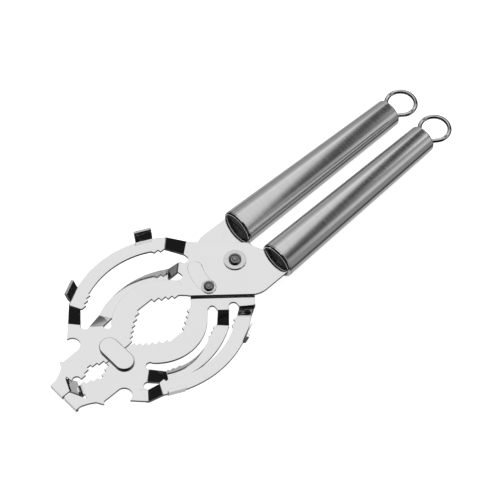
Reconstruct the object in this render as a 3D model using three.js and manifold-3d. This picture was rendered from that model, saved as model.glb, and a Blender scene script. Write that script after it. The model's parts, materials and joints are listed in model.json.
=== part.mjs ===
// Multi-purpose plier opener used as a nutcracker: two crossed sheet levers on one pivot.
// Millimetres. X runs from the jaw tip (-X) to the hanging loops (+X), Z is up.
// While it is built the pivot axis stands on the origin; at the end the whole is centred.
import * as THREE from 'three';
import { mergeVertices } from 'three/addons/utils/BufferGeometryUtils.js';
import Module from 'manifold-3d';

const wasm = await Module();
wasm.setup();

// ---- driving dimensions -------------------------------------------------------------
const sheet = 1.5;               // thickness of the stamped sheet
const fitGap = 0.3;              // gap kept between neighbouring pieces
const seamHalf = 0.35;           // half the gap between the two closed jaws
const frontX = 15.2;             // front of the handles behind the pivot
const handleLength = 114;        // length of a handle tube
const tipX = -116.6;             // front end of the jaws

const pivotPinD = 5.4;           // rivet shank of the pivot
const pivotHeadD = pivotPinD + 1.2;      // cupped head of the pivot rivet
const pivotWasherD = pivotHeadD + 5.2;   // flat washer under the head
const washerThick = 0.5;
const headRise = 0.9;            // height of a rivet head above its washer
const cupDepth = 0.8;            // hollow in a rivet head
const cupRim = 0.8;              // wall left round that hollow

const stopRadius = 21.2;         // stop pin to pivot
const stopAngle = 187.5;         // where the stop pin stands when closed, degrees
const stopTravel = 38;           // opening of the tool, degrees
const stopPinD = 4.2;
const stopHeadD = stopPinD + 1.2;
const stopCollarD = stopHeadD + 2.4;

const bandRaise = 6.2;           // outer jaw band above the jaw plane
const bandDrop = 6.5;            // middle jaw band below the jaw plane
const bendRadius = 1.4;          // bends, measured on the middle of the sheet
const tabWidth = 9.0;            // tabs on the outer bands
const tabRise = 6.6;             // their height, and how far they lean out
const tabLean = 1.8;
const jawFoldX = -30.2;          // slight fold between hub and jaws
const jawMeetX = -80;            // from there the two sloping jaws lie level side by side
const tipLip = 3.0;              // front edge of the jaws turned down, full height
const tipHalf = 10;              // half the width of that edge
const tipSeam = 0.8;             // half the gap between the jaws in front of the cap lifter
const jawLap = 0.1;              // hub and jaw run this far into each other at the fold

const tubeFrontD = 20.4;
const tubeRearD = 16.0;
const tubeWall = 0.9;
const handleYFront = 14.5;       // handle axis to tool axis at the front
const handleYRear = 12.6;        // and at the rear
const handleLift = 1.2;          // rise of the handle axis towards the rear
const handleStagger = 0.3;       // the upper handle sits back, the lower one forward
const collarLength = 1.5;        // rolled ring in the tube mouth
const collarMouthD = tubeFrontD - 2.5;   // opening of that ring
const plugRecess = 2.0;          // dark plug behind the face of the ring
const plugLength = 10;
const tangDepth = 9;             // tang reaching into the plug
const tangWidth = tubeFrontD - 5.8;
const capLength = 4.5;           // plug closing the rear of the tube
const capRound = 1.2;            // rounded rear edge
const loopWireD = 2.4;
const loopRadius = 8.2;          // middle of the wire
const loopCentre = loopRadius + 0.8;     // loop centre behind the rear end
const loopLegY = tubeRearD / 2 - 3.7;    // legs from the handle axis where they enter
const loopLegDepth = 3.0;        // legs inside the rear plug

const keeperX = -81.4;           // keeper plate across the seam
const keeperLength = 21.6;
const keeperWidth = 10.2;
const keeperThick = 1.2;
const keeperEdge = 0.3;          // rounding of its upper edge
const ribRise = 0.14;            // shallow pressed rib on the upper hub
const ribWidth = 7.8;

// the middle of the sheet of the lower hub lies this far below that of the upper hub
const hubDrop = sheet + fitGap;
const handleZ = -hubDrop / 2;
const round = 24;                // segments round a small hole or pin
const fineRound = 48;            // segments round a handle tube

// ---- helpers ------------------------------------------------------------------------
const degrees = Math.PI / 180;

function toSolid(geometry) {
  const bare = geometry.clone();
  bare.deleteAttribute('normal');
  bare.deleteAttribute('uv');
  const joined = mergeVertices(bare, 1e-5);
  const mesh = new wasm.Mesh({
    numProp: 3,
    vertProperties: new Float32Array(joined.attributes.position.array),
    triVerts: new Uint32Array(joined.index.array),
  });
  return new wasm.Manifold(mesh);
}

function toGeometry(solid) {
  const mesh = solid.getMesh();
  const geometry = new THREE.BufferGeometry();
  geometry.setAttribute('position', new THREE.BufferAttribute(new Float32Array(mesh.vertProperties), 3));
  geometry.setIndex(new THREE.BufferAttribute(new Uint32Array(mesh.triVerts), 1));
  geometry.computeVertexNormals();
  return geometry;
}

function add(pieces) {
  let whole = toSolid(pieces[0]);
  for (const piece of pieces.slice(1)) {
    whole = whole.add(toSolid(piece));
  }
  return toGeometry(whole);
}

function cut(geometry, cutters) {
  let left = toSolid(geometry);
  for (const cutter of cutters) {
    left = left.subtract(toSolid(cutter));
  }
  return toGeometry(left);
}

// turns a closed geometry the right way out when its faces point inwards
function faceOut(geometry) {
  const p = geometry.attributes.position;
  const index = geometry.index;
  const a = new THREE.Vector3();
  const b = new THREE.Vector3();
  const c = new THREE.Vector3();
  let volume = 0;
  for (let i = 0; i < index.count; i += 3) {
    a.fromBufferAttribute(p, index.getX(i));
    b.fromBufferAttribute(p, index.getX(i + 1));
    c.fromBufferAttribute(p, index.getX(i + 2));
    volume += a.dot(b.cross(c));
  }
  if (volume < 0) {
    for (let i = 0; i < index.count; i += 3) {
      const second = index.getX(i + 1);
      index.setX(i + 1, index.getX(i + 2));
      index.setX(i + 2, second);
    }
  }
  return geometry;
}

// an outline whose points are mirrored in the tool axis when side is -1
class Outline {
  constructor(side, x, y) {
    this.side = side;
    this.shape = new THREE.Shape();
    this.shape.moveTo(x, y * side);
  }

  to(x, y) {
    this.shape.lineTo(x, y * this.side);
    return this;
  }

  // arc through a middle point to an end point
  arc(mx, my, ex, ey) {
    const start = this.shape.currentPoint.clone();
    const middle = new THREE.Vector2(mx, my * this.side);
    const end = new THREE.Vector2(ex, ey * this.side);
    const d = 2 * (start.x * (middle.y - end.y) + middle.x * (end.y - start.y)
      + end.x * (start.y - middle.y));
    const s2 = start.lengthSq();
    const m2 = middle.lengthSq();
    const e2 = end.lengthSq();
    const cx = (s2 * (middle.y - end.y) + m2 * (end.y - start.y) + e2 * (start.y - middle.y)) / d;
    const cy = (s2 * (end.x - middle.x) + m2 * (start.x - end.x) + e2 * (middle.x - start.x)) / d;
    const radius = Math.hypot(start.x - cx, start.y - cy);
    const from = Math.atan2(start.y - cy, start.x - cx);
    const until = Math.atan2(end.y - cy, end.x - cx);
    const clockwise = d < 0;
    this.shape.absarc(cx, cy, radius, from, until, clockwise);
    return this;
  }

  // square steps: each goes dx along and then dy across, the run growing by growth
  steps(count, dx, dy, growth = 0) {
    let run = dx;
    for (let i = 0; i < count; i += 1) {
      const at = this.shape.currentPoint;
      const y = at.y * this.side;
      const x = at.x + run;
      this.to(x, y);
      this.to(x, y + dy);
      run += growth;
    }
    return this;
  }
}

function plate(outline, z, thick = sheet, segments = 8) {
  const geometry = new THREE.ExtrudeGeometry(outline.shape, {
    depth: thick, bevelEnabled: false, curveSegments: segments,
  });
  return geometry.translate(0, 0, z - thick / 2);
}

function cylinder(diameter, z0, z1, segments = round) {
  const geometry = new THREE.CylinderGeometry(diameter / 2, diameter / 2, z1 - z0, segments);
  return geometry.rotateX(Math.PI / 2).translate(0, 0, (z0 + z1) / 2);
}

function lathe(points, segments = round) {
  const profile = points.map(([r, z]) => new THREE.Vector2(r, z));
  return faceOut(new THREE.LatheGeometry(profile, segments).rotateX(Math.PI / 2));
}

// a bent strip of sheet from the fold a0-b0 at height z0 to the fold a1-b1 at height z1;
// lap continues it flat into its neighbours, openEnd leaves the far end free
function bend(side, [a0, b0], [a1, b1], z0, z1, openEnd = false) {
  const lap = 0.4;
  const arcSteps = 4;
  const runA = Math.hypot(a1[0] - a0[0], a1[1] - a0[1]);
  const runB = Math.hypot(b1[0] - b0[0], b1[1] - b0[1]);
  const run = (runA + runB) / 2;
  const rise = z1 - z0;
  const slope = Math.atan2(rise, run);
  const radius = bendRadius * Math.sign(rise);
  const tangent = bendRadius * Math.tan(Math.abs(slope) / 2);
  const middle = [[-lap - tangent, 0, 0]];
  for (let i = 0; i <= arcSteps; i += 1) {
    const turn = (slope * i) / arcSteps;
    const x = -tangent + bendRadius * Math.sin(Math.abs(turn));
    middle.push([x, radius * (1 - Math.cos(turn)), turn]);
  }
  if (openEnd) {
    middle.push([run, rise, slope]);
  } else {
    for (let i = arcSteps; i >= 0; i -= 1) {
      const turn = (slope * i) / arcSteps;
      const x = run + tangent - bendRadius * Math.sin(Math.abs(turn));
      middle.push([x, rise - radius * (1 - Math.cos(turn)), turn]);
    }
    middle.push([run + lap + tangent, rise, 0]);
  }
  const profile = new THREE.Shape();
  const skin = (off) => middle.map(([x, z, turn]) => [x - Math.sin(turn) * off, z + Math.cos(turn) * off]);
  const ring = [...skin(-sheet / 2), ...skin(sheet / 2).reverse()];
  profile.moveTo(ring[0][0], ring[0][1]);
  for (const [x, z] of ring.slice(1)) {
    profile.lineTo(x, z);
  }
  const strip = new THREE.ExtrudeGeometry(profile, { depth: 1, bevelEnabled: false });
  const p = strip.attributes.position;
  for (let i = 0; i < p.count; i += 1) {
    const along = p.getX(i) / run;
    const across = p.getZ(i);
    const ax = a0[0] + (a1[0] - a0[0]) * along;
    const ay = a0[1] + (a1[1] - a0[1]) * along;
    const bx = b0[0] + (b1[0] - b0[0]) * along;
    const by = b0[1] + (b1[1] - b0[1]) * along;
    p.setXYZ(i, ax + (bx - ax) * across, (ay + (by - ay) * across) * side, z0 + p.getY(i));
  }
  return faceOut(mergeVertices(strip.deleteAttribute('normal').deleteAttribute('uv'), 1e-5));
}

function mesh(name, geometry, color, roughness, metalness = 1) {
  const material = new THREE.MeshStandardMaterial({ color, roughness, metalness });
  const node = new THREE.Mesh(geometry, material);
  node.name = name;
  return node;
}

// ---- fold lines shared by neighbouring stretches of a lever (upper lever, +Y jaw) ----
const neckJawFold = [[-29.9, 11.3], [-34.4, 3.6]];
const neckHubFold = [[-27.8, 10.75], [-32.4, 1.5]];
const outerHubFold = [[-10.5, 26.3], [-16.8, 21.2]];
const outerHubTop = [[-19.1, 32.3], [-24.3, 27.5]];
const outerTipFold = [[-87.2, 31.0], [-83.2, 26.0]];
const outerTipTop = [[-81.8, 35.7], [-79.1, 30.0]];
const middleHubFold = [[-22.0, 19.0], [-26.3, 15.2]];
const middleHubLow = [[-25.7, 22.9], [-30.0, 18.4]];
const middleTipFold = [[-80.7, 22.0], [-75.3, 17.4]];
const middleTipLow = [[-71.0, 26.8], [-67.4, 21.2]];

const hubEdge = [[-31.6, 0.3], [-6.8, -21.9]];

// the jaw opening: square steps that follow a lens from its middle outwards
const lensX = -52;
const lensFlat = 5;
const lensY = 12.4;
const lensRise = 1.95;
const lensRun = 3.2;
const lensShrink = 0.25;

// the small jaw opening near the tip
const smallX = -88.4;
const smallY = 2.1;
const smallRun = 3.1;
const smallStep = 1.4;
const smallFlat = 2.4;
const notchX = -103.3;           // it ends at the notch of the cap lifter

// the cap lifter: a tooth bent down from one jaw over a notch in the other
const toothHinge = [[-108.8, 7.5], [-111.8, 0.7]];
const toothSlope = 50;
const toothLong = 5.0;           // plan length of the flap
const toothLean = 1.2;           // its seam side leans out by this much
const flapHinge = [[-106.2, 0.65], [-108.35, 6.0]];   // short flap on the far side of the notch
const flapLong = 1.2;
const flapDrop = 2.0;

function jawPlate(side, flap) {
  const o = new Outline(side, tipX, tipSeam);
  o.to(tipX, tipHalf).to(tipX + 2.8, tipHalf);
  o.arc(-110.4, 11.3, -106.6, 13.6).to(-104.6, 17.1).to(-103.4, 15.7).to(-93.2, 15.7);
  o.arc(-89.8, 19.7, -93.7, 24.2);
  o.to(...outerTipFold[0]).to(...outerTipFold[1]);
  o.arc(-83.7, 22.9, ...middleTipFold[0]).to(...middleTipFold[1]);
  o.arc(-73.9, 14.1, -71.4, 15.7);
  o.arc(lensX, 23.8, -32.9, 14.5).to(-30.6, 12.1);
  o.to(...neckJawFold[0]).to(...neckJawFold[1]);
  o.to(-35.7, 4.6);
  // four steps up to the flat of the lens, six steps down to the seam
  for (let i = 3; i >= 0; i -= 1) {
    const x = lensX + lensFlat + i * lensRun - (lensShrink * i * (i - 1)) / 2;
    o.to(x, o.shape.currentPoint.y * side);
    o.to(x, lensY - lensRise * i);
  }
  o.to(lensX - lensFlat, lensY).to(lensX - lensFlat, lensY - lensRise);
  o.steps(5, -lensRun, -lensRise, lensShrink);
  o.to(-73.0, seamHalf).to(smallX, seamHalf).to(smallX, smallY);
  // the small jaw, two steps out and two back
  const backX = smallX - 2 * smallRun - smallFlat;
  o.steps(2, -smallRun, smallStep).to(backX, smallY + 2 * smallStep).to(backX, smallY + smallStep);
  o.to(backX - smallRun, smallY + smallStep).to(backX - smallRun, smallY).to(notchX, smallY);
  if (flap === capTooth) {
    o.arc(-105.3, 5.3, -107.3, 4.4).to(-107.6, 8.0);
    o.to(...toothHinge[0]).to(...toothHinge[1]);
    o.to(-111.8, tipSeam);
  } else {
    o.to(notchX, seamHalf).to(-105.3, seamHalf).to(-108.8, 9.0).to(-112.4, tipSeam);
  }
  return plate(o, 0);
}

// the upper handle (side -1) sits back, the lower one forward
function handleFront(side) {
  return frontX - side * handleStagger;
}

function hubOutline(side) {
  const front = handleFront(-side);
  const shoulderX = front - fitGap;
  const tangY = handleYFront;
  const tangEnd = front + plugRecess + tangDepth;
  const o = new Outline(side, ...neckHubFold[1]);
  o.to(...hubEdge[0]).to(...hubEdge[1]).arc(-3.2, -23.5, 1.0, -23.9).to(shoulderX, -23.7);
  o.to(shoulderX, -tangY - tangWidth / 2).to(tangEnd, -tangY - tangWidth / 2);
  o.to(tangEnd, -tangY + tangWidth / 2).to(shoulderX, -tangY + tangWidth / 2).to(shoulderX, -4.9);
  o.to(12.9, 0).arc(12.1, 3.5, 9.4, 6.4).to(-5.6, 20.8);
  o.to(...outerHubFold[0]).to(...outerHubFold[1]);
  o.to(-16.5, 18.9).arc(-18.6, 16.5, -20.9, 17.6);
  o.to(...middleHubFold[0]).to(...middleHubFold[1]);
  o.to(-26.1, 13.2).arc(-26.5, 11.4, ...neckHubFold[0]);
  return o;
}

function outerBand(side) {
  const o = new Outline(side, ...outerHubTop[0]);
  o.arc(lensX, 44.5, ...outerTipTop[0]).to(...outerTipTop[1]).to(-78.6, 29.4);
  o.steps(3, 2.8, 1.6).to(-69.2, 34.2);
  o.arc(lensX, 37.3, -30.4, 31.0).to(-29.7, 29.2).to(-27.1, 29.2).to(-26.9, 27.4);
  o.to(...outerHubTop[1]);
  return plate(o, bandRaise);
}

function middleBand(side) {
  const o = new Outline(side, ...middleHubLow[0]);
  o.arc(-50.5, 31.0, ...middleTipLow[0]).to(...middleTipLow[1]);
  o.to(-66.0, 20.9).to(-65.7, 22.0).to(-63.2, 22.0).to(-62.9, 23.1).to(-60.4, 23.1).to(-59.6, 24.0);
  o.arc(-50.5, 25.1, -39.8, 22.4).to(-38.2, 21.3).to(-37.9, 20.6).to(-35.4, 20.6).to(-35.1, 19.3);
  o.to(-32.9, 19.3).to(-32.4, 17.9);
  o.to(...middleHubLow[1]);
  return plate(o, -bandDrop);
}

// middle of each tab's foot on the outer edge of the outer band, and the way it faces
const tabFeet = [[-28.2, 39.0, 63.5], [-76.1, 39.1, 116.5]];

function moved([x, y], [dx, dy], by) {
  return [x + dx * by, y + dy * by];
}

function bandTabs(side) {
  return tabFeet.map(([x, y, facing]) => {
    const out = [Math.cos(facing * degrees), Math.sin(facing * degrees)];
    const along = [-out[1], out[0]];
    const foot = [moved([x, y], along, tabWidth / 2), moved([x, y], along, -tabWidth / 2)];
    const tip = foot.map((point) => moved(point, out, tabLean));
    return bend(side, foot, tip, bandRaise, bandRaise + tabRise, true);
  });
}

// the tooth: a flap bent down from its hinge and drawn out towards the seam
function capTooth(side) {
  const [h1, h2] = toothHinge;
  const length = Math.hypot(h2[0] - h1[0], h2[1] - h1[1]);
  const along = [(h2[0] - h1[0]) / length, (h2[1] - h1[1]) / length];
  const normal = [-along[1], along[0]];
  const far = [moved(h1, normal, toothLong), moved(moved(h2, normal, toothLong), along, toothLean)];
  const drop = toothLong * Math.tan(toothSlope * degrees);
  return bend(side, toothHinge, far, 0, -drop, true);
}

// the lower jaw's own short flap, bent down into the notch and facing the tooth
function capFlap(side) {
  const [h1, h2] = flapHinge;
  const length = Math.hypot(h2[0] - h1[0], h2[1] - h1[1]);
  const normal = [-(h2[1] - h1[1]) / length, (h2[0] - h1[0]) / length];
  const far = flapHinge.map((point) => moved(point, normal, flapLong));
  return bend(side, flapHinge, far, 0, -flapDrop, true);
}

function frontLip(side) {
  const o = new Outline(side, tipX, tipSeam).to(tipX, tipHalf);
  o.to(tipX + sheet, tipHalf).to(tipX + sheet, tipSeam);
  return plate(o, sheet / 2 - tipLip / 2, tipLip);
}

// a band along the path of the stop pin, closed by a round at each end
function stopPath(halfWidth, sweep, z0, z1) {
  const end = stopAngle * degrees;
  const start = (stopAngle - sweep) * degrees;
  const shape = new THREE.Shape();
  shape.absarc(0, 0, stopRadius + halfWidth, start, end, false);
  const last = [stopRadius * Math.cos(end), stopRadius * Math.sin(end)];
  shape.absarc(...last, halfWidth, end, end + Math.PI, false);
  shape.absarc(0, 0, stopRadius - halfWidth, end, start, true);
  const first = [stopRadius * Math.cos(start), stopRadius * Math.sin(start)];
  shape.absarc(...first, halfWidth, start + Math.PI, start, false);
  const geometry = new THREE.ExtrudeGeometry(shape, {
    depth: z1 - z0, bevelEnabled: false, curveSegments: 8,
  });
  return geometry.translate(0, 0, z0);
}

// the lever with its bands and the flap of its cap lifter, cut at the jaw fold and bent there
function lever(side, flap, z) {
  const neck = new Outline(side, ...neckJawFold[0]).to(...neckHubFold[0]);
  neck.to(...neckHubFold[1]).to(...neckJawFold[1]);
  const flat = add([
    jawPlate(side, flap),
    frontLip(side),
    plate(hubOutline(side), 0),
    plate(neck, 0),
    outerBand(side),
    middleBand(side),
    ...bandTabs(side),
    bend(side, outerHubFold, outerHubTop, 0, bandRaise),
    bend(side, outerTipFold, outerTipTop, 0, bandRaise),
    bend(side, middleHubFold, middleHubLow, 0, -bandDrop),
    bend(side, middleTipFold, middleTipLow, 0, -bandDrop),
    flap(side),
  ]);
  const beyond = -4 * tipX;
  const block = new THREE.BoxGeometry(beyond, beyond, beyond);
  const hub = cut(flat, [block.clone().translate(jawFoldX - jawLap - beyond / 2, 0, 0)]);
  const jaw = cut(flat, [block.clone().translate(jawFoldX + jawLap + beyond / 2, 0, 0)]);
  return add([hub, tilted(jaw, side)]).translate(0, 0, z);
}

// the upper jaw slopes down and the lower one up, each by half the height between the hubs
function tilted(geometry, side) {
  const angle = side * Math.atan2(hubDrop / 2, jawFoldX - jawMeetX);
  return geometry.translate(-jawFoldX, 0, 0).rotateY(-angle).translate(jawFoldX, 0, 0);
}

function stopAt() {
  return [stopRadius * Math.cos(stopAngle * degrees), stopRadius * Math.sin(stopAngle * degrees)];
}

function upperLever() {
  const [sx, sy] = stopAt();
  const rib = stopPath(ribWidth / 2, stopTravel, 0, sheet / 2 + ribRise);
  const holes = [
    cylinder(pivotPinD + 2 * fitGap, -sheet, sheet),
    cylinder(stopPinD + 2 * fitGap, -sheet, sheet).translate(sx, sy, 0),
  ];
  return cut(add([lever(1, capTooth, 0), rib]), holes);
}

function lowerLever() {
  const slot = stopPath(stopPinD / 2 + fitGap, stopTravel, -hubDrop - sheet, -hubDrop + sheet);
  const holes = [cylinder(pivotPinD + 2 * fitGap, -hubDrop - sheet, -hubDrop + sheet), slot];
  return cut(lever(-1, capFlap, -hubDrop), holes);
}

// a rivet: cupped head, shank, and a flat closing head below
function rivet(shankD, headD, seat, shankEnd, footD) {
  const top = seat + headRise;
  const cup = headD / 2 - cupRim;
  return lathe([
    [0, top - cupDepth + 0.35], [cup * 0.45, top - cupDepth + 0.3], [cup * 0.6, top - cupDepth],
    [cup * 0.85, top - cupDepth], [cup, top - 0.15], [headD / 2 - 0.3, top], [headD / 2, top - 0.3],
    [headD / 2, seat], [shankD / 2, seat], [shankD / 2, shankEnd],
    [footD / 2, shankEnd], [footD / 2, shankEnd - 0.6], [footD / 2 - 0.4, shankEnd - headRise],
    [0, shankEnd - headRise],
  ]);
}

function washer(outerD, innerD, z0) {
  const outer = cylinder(outerD, z0, z0 + washerThick, fineRound);
  return cut(outer, [cylinder(innerD, z0 - 1, z0 + washerThick + 1)]);
}

function keeper() {
  const half = keeperLength / 2 - keeperWidth / 2;
  const foot = keeperEdge * 0.1;
  const shape = new THREE.Shape();
  shape.absarc(0, half, keeperWidth / 2 - keeperEdge, 0, Math.PI, false);
  shape.absarc(0, -half, keeperWidth / 2 - keeperEdge, Math.PI, 2 * Math.PI, false);
  const geometry = new THREE.ExtrudeGeometry(shape, {
    depth: keeperThick - keeperEdge,
    bevelThickness: keeperEdge,
    bevelSize: keeperEdge,
    bevelSegments: 2,
    curveSegments: 10,
  });
  // only the upper edge is rounded
  const p = geometry.attributes.position;
  for (let i = 0; i < p.count; i += 1) {
    if (p.getZ(i) < 0) {
      p.setZ(i, -foot);
    }
  }
  geometry.translate(keeperX, 0, sheet / 2 + fitGap + foot);
  return tilted(geometry, -1).translate(0, 0, -hubDrop);
}

// ---- one handle, built along +X from the front of its tube --------------------------
function turnedX(points, segments = fineRound) {
  const profile = points.map(([x, r]) => new THREE.Vector2(r, x));
  return faceOut(new THREE.LatheGeometry(profile, segments).rotateZ(-Math.PI / 2));
}

function tubeRadius(x) {
  return tubeFrontD / 2 + ((tubeRearD - tubeFrontD) / 2) * (x / handleLength);
}

function handleTube() {
  const rear = handleLength - capRound;
  const front = collarLength;
  return turnedX([
    [front, tubeRadius(front)], [rear, tubeRadius(rear)],
    [rear + capRound * 0.6, tubeRadius(rear) - capRound * 0.2],
    [handleLength, tubeRadius(rear) - capRound * 0.9],
    [handleLength, tubeRadius(rear) - capRound * 0.9 - 0.4],
    [rear, tubeRadius(rear) - tubeWall - 0.4], [rear - 0.4, tubeRadius(rear) - tubeWall],
    [front, tubeRadius(front) - tubeWall], [front, tubeRadius(front)],
  ]);
}

function frontCollar() {
  const outer = tubeFrontD / 2;
  const mouth = collarMouthD / 2;
  const x1 = collarLength - fitGap;
  return turnedX([
    [0, mouth], [0, mouth + 0.35], [x1 * 0.25, outer - 0.5], [x1 * 0.6, outer - 0.12],
    [x1, outer - 0.02], [x1, mouth + 0.3], [x1 * 0.75, mouth], [0, mouth],
  ]);
}

function tangPlug(tangOffset) {
  const x0 = collarLength;
  const x1 = plugRecess + plugLength;
  const radius = tubeRadius(x1) - tubeWall - fitGap;
  const plug = turnedX([[x0, 0], [x0, radius], [x1, radius], [x1, 0]]);
  const slot = new THREE.BoxGeometry(2 * plugLength, tangWidth + 2 * fitGap, sheet + 2 * fitGap);
  const tangTip = plugRecess + tangDepth + fitGap;
  slot.translate(tangTip - plugLength, 0, tangOffset);
  return cut(plug, [slot]);
}

function endCap() {
  const x1 = handleLength;
  const x0 = x1 - capLength;
  const bore = tubeRadius(handleLength) - tubeWall - fitGap - 0.25;
  const face = tubeRadius(handleLength - capRound) - capRound * 0.9 - 0.4 - fitGap;
  const cap = turnedX([
    [x0, 0], [x0, bore], [x1 - capRound - 0.6, bore], [x1 - capRound * 0.5, face], [x1, face], [x1, 0],
  ]);
  const cutters = [1, -1].map((s) => {
    const radius = loopWireD / 2 + fitGap;
    const hole = new THREE.CylinderGeometry(radius, radius, 2 * (loopLegDepth + fitGap), round);
    return hole.rotateZ(Math.PI / 2).translate(x1, s * loopLegY, 0);
  });
  return cut(cap, cutters);
}

// wire loop: two legs into the rear plug, joined by an arc
function hangingLoop() {
  const centre = handleLength + loopCentre;
  const neckX = loopCentre - 1.5;
  const pointAngle = Math.atan2(loopLegY, -neckX);
  const arcEnd = pointAngle - Math.acos(loopRadius / Math.hypot(neckX, loopLegY));
  const p0 = new THREE.Vector3(handleLength - loopLegDepth, loopLegY, 0);
  const p1 = new THREE.Vector3(handleLength + 0.6, loopLegY, 0);
  const count = 26;
  const points = [p0, p1];
  for (let i = 0; i <= count; i += 1) {
    const angle = arcEnd - (2 * arcEnd * i) / count;
    points.push(new THREE.Vector3(centre + loopRadius * Math.cos(angle), loopRadius * Math.sin(angle), 0));
  }
  points.push(new THREE.Vector3(p1.x, -loopLegY, 0), new THREE.Vector3(p0.x, -loopLegY, 0));
  const curve = new THREE.CatmullRomCurve3(points, false, 'centripetal');
  const section = new THREE.Shape();
  section.absarc(0, 0, loopWireD / 2, 0, 2 * Math.PI, false);
  const geometry = new THREE.ExtrudeGeometry(section, {
    steps: 64, bevelEnabled: false, extrudePath: curve, curveSegments: 6,
  });
  return faceOut(mergeVertices(geometry.deleteAttribute('normal').deleteAttribute('uv'), 1e-4));
}

function handle(name, side, tangOffset) {
  const group = new THREE.Group();
  group.name = `handle_${name}`;
  group.add(mesh(`tube_${name}`, handleTube(), 0xb4b4b4, 0.38));
  group.add(mesh(`collar_${name}`, frontCollar(), 0xd8d8d8, 0.15));
  group.add(mesh(`plug_${name}`, tangPlug(tangOffset), 0x1c1c1c, 0.5, 0));
  group.add(mesh(`end_cap_${name}`, endCap(), 0xc8c8c8, 0.25));
  group.add(mesh(`loop_${name}`, hangingLoop(), 0xe6e6e6, 0.08));
  group.position.set(handleFront(side), side * handleYFront, handleZ);
  group.rotation.z = Math.atan2(-side * (handleYFront - handleYRear), handleLength);
  group.rotation.y = -Math.atan2(handleLift, handleLength);
  return group;
}

// ---- assembly -----------------------------------------------------------------------
const root = new THREE.Group();
root.name = 'plier_opener';
const steel = [0xdedede, 0.12];
root.add(mesh('lever_upper', upperLever(), ...steel));
root.add(mesh('lever_lower', lowerLever(), ...steel));
root.add(mesh('jaw_keeper', keeper(), ...steel));

// ---- rivets and washers of the pivot and of the stop ----
const washerZ = sheet / 2 + fitGap;
const underZ = -hubDrop - sheet / 2 - fitGap - washerThick;
const headZ = washerZ + washerThick + fitGap;

function fastener(names, pinD, headD, washerD, footD, [x, y]) {
  const bore = pinD + 2 * fitGap;
  const [top, bottom, pin] = names;
  const pieces = [
    mesh(top, washer(washerD, bore, washerZ), 0xdcdcdc, 0.15),
    mesh(bottom, washer(washerD, bore, underZ), 0xdcdcdc, 0.15),
    mesh(pin, rivet(pinD, headD, headZ, underZ - fitGap, footD), 0x9a9a9a, 0.25),
  ];
  for (const piece of pieces) {
    piece.position.set(x, y, 0);
    root.add(piece);
  }
}

const pivotNames = ['pivot_washer_top', 'pivot_washer_bottom', 'pivot_rivet'];
const stopNames = ['stop_collar', 'stop_washer', 'stop_rivet'];
fastener(pivotNames, pivotPinD, pivotHeadD, pivotWasherD, pivotHeadD + 1, [0, 0]);
fastener(stopNames, stopPinD, stopHeadD, stopCollarD, stopHeadD + 0.6, stopAt());

root.add(handle('upper', -1, -handleZ));
root.add(handle('lower', 1, -hubDrop - handleZ));

// the frame stands in the middle of the closed tool
root.updateMatrixWorld(true);
const middle = new THREE.Box3().setFromObject(root).getCenter(new THREE.Vector3());
root.position.copy(middle).negate();

export default root;
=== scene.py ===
import json
import math

import bmesh
import bpy
from mathutils import Matrix, Vector


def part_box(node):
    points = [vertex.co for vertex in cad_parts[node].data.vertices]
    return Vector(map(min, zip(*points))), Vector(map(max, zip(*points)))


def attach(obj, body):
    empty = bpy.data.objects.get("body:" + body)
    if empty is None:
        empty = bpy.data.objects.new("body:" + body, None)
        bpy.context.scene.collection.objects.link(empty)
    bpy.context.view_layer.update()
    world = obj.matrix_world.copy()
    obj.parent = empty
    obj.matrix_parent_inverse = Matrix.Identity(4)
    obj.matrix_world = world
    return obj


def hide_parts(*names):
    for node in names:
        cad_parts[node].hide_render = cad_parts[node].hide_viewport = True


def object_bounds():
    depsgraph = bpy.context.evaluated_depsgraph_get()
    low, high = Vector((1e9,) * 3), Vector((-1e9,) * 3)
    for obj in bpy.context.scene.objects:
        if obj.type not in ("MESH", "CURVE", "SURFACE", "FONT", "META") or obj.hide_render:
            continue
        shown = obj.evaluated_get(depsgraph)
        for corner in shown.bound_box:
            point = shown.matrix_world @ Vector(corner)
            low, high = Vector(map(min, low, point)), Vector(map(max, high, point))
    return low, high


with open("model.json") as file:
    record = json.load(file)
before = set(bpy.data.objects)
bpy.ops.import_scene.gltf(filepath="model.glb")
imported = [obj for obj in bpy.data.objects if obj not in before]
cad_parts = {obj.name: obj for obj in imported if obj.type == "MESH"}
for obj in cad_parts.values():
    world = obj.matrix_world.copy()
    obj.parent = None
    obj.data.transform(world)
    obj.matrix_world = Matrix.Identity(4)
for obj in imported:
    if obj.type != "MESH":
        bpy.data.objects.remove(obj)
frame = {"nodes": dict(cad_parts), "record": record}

cad_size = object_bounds()

# ---- the two levers -----------------------------------------------------------------
# Each lever is stamped from one 1.5 mm sheet of stainless steel, bent up and down into
# bands, and polished to a mirror. The sheared edges are a little rough, and their near-black colour is
# painted shade for the dark their walls reflect.
MM = 0.001
SHEET_EDGE_BREAK = 0.10 * MM      # what polishing takes off the sharp edges
EDGE_ANGLE = math.radians(28)     # folds flatter than this are shaded as one surface
CUT_FACE = 0.02                   # a face this upright is a sheared edge, given the painted shade
LIP_REACH = 0.5 * MM              # but not the front edge, which is turned down and polished
FACING_FORWARD = -0.95            # x of a face normal from which it counts as that front
PRESSED_WALL = 0.3 * MM           # nor are the low walls of the pressed rib
SHEET_COLOUR = (0.86, 0.86, 0.865, 1.0)
# the sheared edge's colour: dull steel darkened to near black as painted shade
CUT_AND_SHADE_COLOUR = (0.16, 0.16, 0.165, 1.0)
JOIN_WITHIN = 0.012 * MM          # corners closer than this are one
OBJECT_PLACE = 3                  # output of the coordinate node with the piece's own frame


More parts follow.
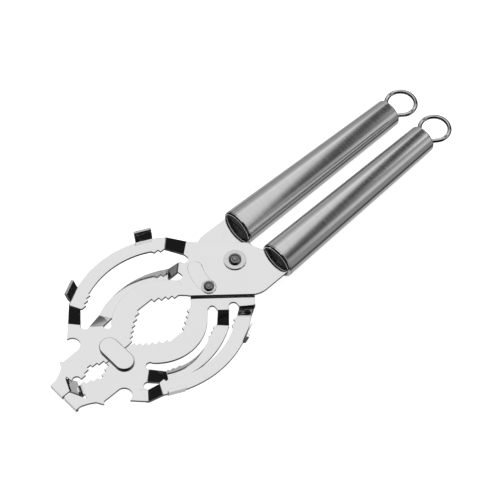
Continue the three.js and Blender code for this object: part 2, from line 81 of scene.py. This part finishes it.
class Socket:
    """One socket of a node tree; arithmetic on it adds Math nodes."""

    def __init__(self, tree, output):
        self.tree = tree
        self.output = output

    @classmethod
    def node(cls, tree, kind, settings=(), inputs=(), out=0):
        made = tree.nodes.new(kind)
        for name, value in dict(settings).items():
            setattr(made, name, value)
        for name, value in dict(inputs).items():
            if isinstance(value, Socket):
                tree.links.new(value.output, made.inputs[name])
            else:
                made.inputs[name].default_value = value
        return cls(tree, made.outputs[out])

    def math(self, operation, first, second):
        return Socket.node(self.tree, "ShaderNodeMath", {"operation": operation}, {0: first, 1: second})

    def __add__(self, other):
        return self.math("ADD", self, other)

    __radd__ = __add__

    def __mul__(self, other):
        return self.math("MULTIPLY", self, other)

    __rmul__ = __mul__

    def __sub__(self, other):
        return self.math("SUBTRACT", self, other)

    def __rsub__(self, other):
        return self.math("SUBTRACT", other, self)

    def ramp(self, low, high):
        """0 below low, 1 above high, and smooth between them."""
        settings = {"interpolation_type": "SMOOTHSTEP"}
        return Socket.node(self.tree, "ShaderNodeMapRange", settings, {"Value": self, 1: low, 2: high})

    def blend(self, first, second):
        """The first colour where this is 0 and the second where it is 1."""
        settings = {"data_type": "RGBA"}
        inputs = {0: self, 6: first, 7: second}     # the factor and the two colour sockets
        return Socket.node(self.tree, "ShaderNodeMix", settings, inputs, out=2)


def new_metal(name, colour, roughness, metallic=1.0):
    """A named material: its tree, its shader and the coordinates of the piece."""
    material = bpy.data.materials.new(name)
    material.use_nodes = True
    tree = material.node_tree
    shader = tree.nodes["Principled BSDF"]
    shader.inputs["Base Color"].default_value = colour
    shader.inputs["Roughness"].default_value = roughness
    shader.inputs["Metallic"].default_value = metallic
    place = Socket.node(tree, "ShaderNodeTexCoord", out=OBJECT_PLACE)
    return material, tree, shader, place


def feed(tree, shader, name, socket):
    tree.links.new(socket.output, shader.inputs[name])


def noise(tree, place, scale, detail=3.0, stretch=(1.0, 1.0, 1.0)):
    laid = Socket.node(tree, "ShaderNodeMapping", {}, {"Vector": place, "Scale": stretch})
    return Socket.node(tree, "ShaderNodeTexNoise", {}, {"Vector": laid, "Scale": scale, "Detail": detail})


def bump(tree, shader, height, strength, distance):
    values = {"Height": height, "Strength": strength, "Distance": distance}
    feed(tree, shader, "Normal", Socket.node(tree, "ShaderNodeBump", {}, values))


def polished_sheet():
    material, tree, shader, place = new_metal("polished_sheet", SHEET_COLOUR, 0.05)
    clouds = noise(tree, place, 45.0)
    haze = noise(tree, place, 700.0, 2.0, (1.0, 0.35, 1.0))
    hairline = noise(tree, place, 260.0, 4.0, (0.06, 1.0, 1.0)).ramp(0.62, 0.70)
    feed(tree, shader, "Roughness", 0.035 + 0.045 * clouds + 0.03 * haze + 0.05 * hairline)
    feed(tree, shader, "Base Color", clouds.blend((0.84, 0.84, 0.845, 1.0), (0.88, 0.88, 0.885, 1.0)))
    bump(tree, shader, noise(tree, place, 22.0, 1.0), 0.05, 0.4 * MM)
    return material


# The sheared edge: rough steel, its near-black colour painted shade for the dark the walls reflect.
def shaded_sheared_edge():
    material, tree, shader, place = new_metal("shaded_sheared_edge", CUT_AND_SHADE_COLOUR, 0.38)
    shear = noise(tree, place, 900.0, 3.0, (1.0, 1.0, 0.12))
    feed(tree, shader, "Base Color", shear.blend((0.10, 0.10, 0.105, 1.0), (0.30, 0.30, 0.31, 1.0)))
    feed(tree, shader, "Roughness", 0.28 + 0.2 * shear)
    bump(tree, shader, shear, 0.35, 0.05 * MM)
    return material


def merged_copy(node):
    """A bmesh of a part's solid with its loose triangles joined."""
    work = bmesh.new()
    work.from_mesh(frame["nodes"][node].data)
    bmesh.ops.remove_doubles(work, verts=work.verts, dist=JOIN_WITHIN)
    bmesh.ops.dissolve_degenerate(work, edges=work.edges, dist=JOIN_WITHIN)
    return work


def sharp(edge):
    return len(edge.link_faces) == 2 and edge.calc_face_angle(0.0) > EDGE_ANGLE


def break_edges(work, width):
    edges = [edge for edge in work.edges if sharp(edge)]
    bmesh.ops.bevel(
        work, geom=edges, offset=width, segments=2, profile=0.5, affect="EDGES",
        material=-1, clamp_overlap=False, miter_outer="SHARP",
    )


def finish_piece(work, name, node, slot, *materials):
    """The bmesh as an object that rides its body and stands for its node."""
    for face in work.faces:
        face.smooth = True
    for edge in work.edges:
        edge.smooth = not sharp(edge)
    mesh = bpy.data.meshes.new(name)
    work.to_mesh(mesh)
    work.free()
    for material in materials:
        mesh.materials.append(material)
    piece = bpy.data.objects.new(name, mesh)
    bpy.context.scene.collection.objects.link(piece)
    bodies = frame["record"]["behaviour"]["bodies"]
    body = next(body for body, nodes in bodies.items() if node in nodes)
    weighted = piece.modifiers.new("even_shading", "WEIGHTED_NORMAL")
    weighted.keep_sharp = True
    weighted.weight = 100
    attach(piece, body)
    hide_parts(node)
    return piece


POLISHED = polished_sheet()
SHEARED_AND_SHADED = shaded_sheared_edge()
for name in ("lever_upper", "lever_lower"):
    lever = merged_copy(name)
    front = min(v.co.x for v in lever.verts)
    for face in lever.faces:
        forward = face.normal.x < FACING_FORWARD
        turned_down = forward and face.calc_center_median().x < front + LIP_REACH
        heights = [v.co.z for v in face.verts]
        pressed = max(heights) - min(heights) < PRESSED_WALL
        # upright cut faces get the near-black painted shade
        shaded_cut = abs(face.normal.z) < CUT_FACE and not turned_down and not pressed
        face.material_index = 1 if shaded_cut else 0
    break_edges(lever, SHEET_EDGE_BREAK)
    finish_piece(lever, name + "_sheet", name, "polished_sheet", POLISHED, SHEARED_AND_SHADED)

# ---- the keeper plate ---------------------------------------------------------------
# A long round-ended plate of the same sheet, spot-welded to the lower jaw across the
# seam, so that the jaws close in one plane. Its blanked, rounded edge is painted near black, as shade for
# the dark it reflects.
ROUNDED_EDGE = 0.97               # a face turned further than this belongs to the edge
plate = merged_copy("jaw_keeper")
for face in plate.faces:
    # the rounded edge faces take the painted shade of the sheared-edge material
    face.material_index = 0 if abs(face.normal.z) > ROUNDED_EDGE else 1
finish_piece(plate, "jaw_keeper_plate", "jaw_keeper", "polished_sheet", POLISHED, SHEARED_AND_SHADED)

# ---- the pivot and the stop ---------------------------------------------------------
# Steel rivets with rolled, cupped heads over flat washers. The heads are duller than
# the washers and darker in colour all over.
WASHER_EDGE = 0.12 * MM           # rounding that tumbling gives a washer
DARKER = 0.75                     # how far the spots of a turned face darken

def turned_finish(name, colour, low, high, rings):
    material, tree, shader, place = new_metal(name, colour, low)
    fine = noise(tree, place, rings, 3.0)
    spots = noise(tree, place, 500.0, 2.0)
    feed(tree, shader, "Roughness", low + (high - low) * spots)
    dark = tuple(DARKER * channel for channel in colour[:3]) + (1.0,)
    feed(tree, shader, "Base Color", spots.blend(dark, colour))
    bump(tree, shader, fine, 0.15, 0.04 * MM)
    return material


WASHER = turned_finish("washer_steel", (0.82, 0.82, 0.825, 1.0), 0.08, 0.18, 1400.0)
RIVET = turned_finish("rivet_steel", (0.32, 0.32, 0.33, 1.0), 0.18, 0.36, 1800.0)
for name in ("pivot_washer_top", "pivot_washer_bottom", "stop_collar", "stop_washer"):
    ring = merged_copy(name)
    break_edges(ring, WASHER_EDGE)
    finish_piece(ring, name + "_ring", name, "washer_steel", WASHER)
for name in ("pivot_rivet", "stop_rivet"):
    finish_piece(merged_copy(name), name + "_head", name, "rivet_steel", RIVET)

# ---- the handles --------------------------------------------------------------------
# Tapered stainless tubes, brushed round their axis. A rolled ring closes the mouth round
# a black moulded plug, a turned plug closes the rear and holds the bright wire loop.


def brushed_tube():
    material, tree, shader, place = new_metal("brushed_tube", (0.78, 0.78, 0.785, 1.0), 0.18)
    rings = noise(tree, place, 1500.0, 4.0, (1.0, 0.035, 0.035))
    coarse = noise(tree, place, 320.0, 3.0, (1.0, 0.06, 0.06))
    clouds = noise(tree, place, 60.0, 2.0)
    feed(tree, shader, "Roughness", 0.06 + 0.05 * rings + 0.03 * clouds)
    grain = 0.6 * rings + 0.4 * coarse
    feed(tree, shader, "Base Color", grain.blend((0.60, 0.60, 0.605, 1.0), (0.76, 0.76, 0.765, 1.0)))
    bump(tree, shader, grain, 0.08, 0.05 * MM)
    return material


def black_plug():
    material, tree, shader, place = new_metal("dark_plug", (0.02, 0.02, 0.021, 1.0), 0.45, 0.0)
    grain = noise(tree, place, 1600.0, 3.0)
    feed(tree, shader, "Roughness", 0.35 + 0.25 * grain)
    feed(tree, shader, "Base Color", grain.blend((0.012, 0.012, 0.012, 1.0), (0.04, 0.04, 0.041, 1.0)))
    bump(tree, shader, grain, 0.3, 0.05 * MM)
    return material


TUBE = brushed_tube()
RIM = turned_finish("rolled_rim", (0.84, 0.84, 0.845, 1.0), 0.06, 0.14, 1200.0)
WIRE = turned_finish("bright_wire", (0.66, 0.66, 0.665, 1.0), 0.03, 0.09, 900.0)
PLUG = black_plug()
handle_pieces = (
    ("tube", "handle_tube", "brushed_tube", TUBE),
    ("collar", "mouth_ring", "rolled_rim", RIM),
    ("end_cap", "rear_plug", "rolled_rim", RIM),
    ("plug", "mouth_plug", "dark_plug", PLUG),
    ("loop", "hanging_loop", "bright_wire", WIRE),
)
for side in ("upper", "lower"):
    for part, piece_name, slot, finish in handle_pieces:
        node = f"{part}_{side}"
        finish_piece(merged_copy(node), f"{piece_name}_{side}", node, slot, finish)

# ---- floor and studio ---------------------------------------------------------------
# The tool lies on a pale table under a large soft box, with the dark of the room round it.
# The bright metal sees the room through the world; the lamp only lights what is dull.
FLOOR_HALF = 4.0
FLOOR_GAP = 0.5 * MM              # the floor lies this far below the lowest edge
FLOOR_GLOW = 0.86
BACKDROP = (0.86, 0.86, 0.86, 1)
LAMP_SIZE = 1.6
LAMP_POWER = 7.0
LAMP_PLACE = Vector((0.3, 0.3, 1.6))
lowest = min(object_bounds()[0][2], cad_size[0][2])
floor_mesh = bpy.data.meshes.new("floor")
work = bmesh.new()
bmesh.ops.create_grid(work, x_segments=1, y_segments=1, size=FLOOR_HALF)
bmesh.ops.translate(work, verts=work.verts, vec=(0, 0, lowest - FLOOR_GAP))
work.to_mesh(floor_mesh)
work.free()
floor = bpy.data.objects.new("floor", floor_mesh)
bpy.context.scene.collection.objects.link(floor)
floor.visible_glossy = False
paper, tree, shader, place = new_metal("floor_paper", (0.93, 0.93, 0.93, 1.0), 0.9, 0.0)
shader.inputs["Emission Color"].default_value = (1.0, 1.0, 1.0, 1.0)
shader.inputs["Emission Strength"].default_value = FLOOR_GLOW
floor_mesh.materials.append(paper)

world = bpy.data.worlds.new("studio")
bpy.context.scene.world = world
world.use_nodes = True
sky = world.node_tree
direction = Socket.node(sky, "ShaderNodeTexCoord", out=0)


def toward(x, y, z):
    """How far the direction leans to x, y, z: 1 straight at it."""
    aim = Vector((x, y, z)).normalized()
    settings = {"operation": "DOT_PRODUCT"}
    return Socket.node(sky, "ShaderNodeVectorMath", settings, {0: direction, 1: aim}, out=1)


height = toward(0, 0, 1)
along = Socket.node(sky, "ShaderNodeSeparateXYZ", {}, {0: direction}, out=0)
across = Socket.node(sky, "ShaderNodeSeparateXYZ", {}, {0: direction}, out=1)

# the table below the tool, and the part of it that lies behind
under = 1.0 - height.ramp(-0.80, -0.55)
behind = (1.0 - height.ramp(-0.26, -0.02)) * across.ramp(0.0, 0.35) * along.ramp(-0.40, 0.15)
table_light = 0.50 * (under + behind * (1.0 - under))

# the soft box overhead: a round part and a long strip that end at one slanting edge
past_edge = along - (0.478 + 0.075 * across)
cone = toward(0.22, 0.36, 0.90).ramp(0.70, 0.84)
strip = along.ramp(0.15, 0.30) * height.ramp(0.42, 0.58)
box_light = 0.86 * (cone + strip * (1.0 - cone)) * (1.0 - past_edge.ramp(-0.045, -0.015))
box_light = box_light * (1.0 - 0.75 * across.ramp(0.50, 0.75))

# what the handles see beyond that edge, and what single faces of the levers see
beside_edge = (1.0 - past_edge.ramp(0.12, 0.20)) * height.ramp(0.0, 0.25)
rear_light = (0.03 * past_edge.ramp(-0.06, -0.02) + 0.38 * past_edge.ramp(0.015, 0.07)) * beside_edge
tooth_light = 0.36 * toward(0.93, 0.16, -0.33).ramp(0.93, 0.97)
edge_light = 0.75 * past_edge.ramp(0.05, 0.08) * height.ramp(0.66, 0.74)
side_light = 0.30 * toward(0.45, -0.89, 0.0).ramp(0.80, 0.95)
far_light = 0.40 * toward(0.45, 0.80, 0.35).ramp(0.86, 0.96)
room = 0.012
total = room + table_light + box_light + rear_light + edge_light + tooth_light + side_light + far_light

# the camera itself sees an even pale backdrop
background = sky.nodes["Background"]
seen = Socket.node(sky, "ShaderNodeLightPath", out=0)
glow = Socket.node(sky, "ShaderNodeCombineColor", {}, {0: total, 1: total, 2: total})
sky.links.new(seen.blend(glow, BACKDROP).output, background.inputs["Color"])
background.inputs["Strength"].default_value = 1.0

lamp_data = bpy.data.lights.new("overhead", "AREA")
lamp_data.shape = "DISK"
lamp_data.size = LAMP_SIZE
lamp_data.energy = LAMP_POWER
lamp = bpy.data.objects.new("overhead", lamp_data)
lamp.location = LAMP_PLACE
lamp.rotation_euler = (-LAMP_PLACE).to_track_quat("-Z", "Y").to_euler()
lamp.visible_glossy = False
bpy.context.scene.collection.objects.link(lamp)

# ---- camera -------------------------------------------------------------------------
# A long lens that looks down on the tool from in front, past the tip of the jaws. It is
# placed from a point on the pivot's axis, just below the rivet's head.
LENS = 121.8
SENSOR = 36.0
VIEW_AZIMUTH = math.radians(-43.54)
VIEW_HEIGHT = math.radians(56.5)
BELOW_HEAD = 3.7 * MM             # that point lies this far below the head
CAMERA_FROM_PIVOT = Vector((-0.3255, -0.3539, 0.73765))
low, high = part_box("pivot_rivet")
pivot = Vector(((low.x + high.x) / 2, (low.y + high.y) / 2, high.z - BELOW_HEAD))
back = Vector((
    math.sin(VIEW_AZIMUTH) * math.cos(VIEW_HEIGHT),
    -math.cos(VIEW_AZIMUTH) * math.cos(VIEW_HEIGHT),
    math.sin(VIEW_HEIGHT),
))
right = Vector((math.cos(VIEW_AZIMUTH), math.sin(VIEW_AZIMUTH), 0.0))
camera_data = bpy.data.cameras.new("camera")
camera_data.lens = LENS
camera_data.sensor_width = SENSOR
camera_data.clip_start = 0.01
camera_data.clip_end = 20.0
camera = bpy.data.objects.new("camera", camera_data)
camera.matrix_world = Matrix.Translation(pivot + CAMERA_FROM_PIVOT) @ Matrix((
    right, back.cross(right), back,
)).transposed().to_4x4()
bpy.context.scene.collection.objects.link(camera)
bpy.context.scene.camera = camera

bpy.context.scene.view_settings.view_transform = "Standard"
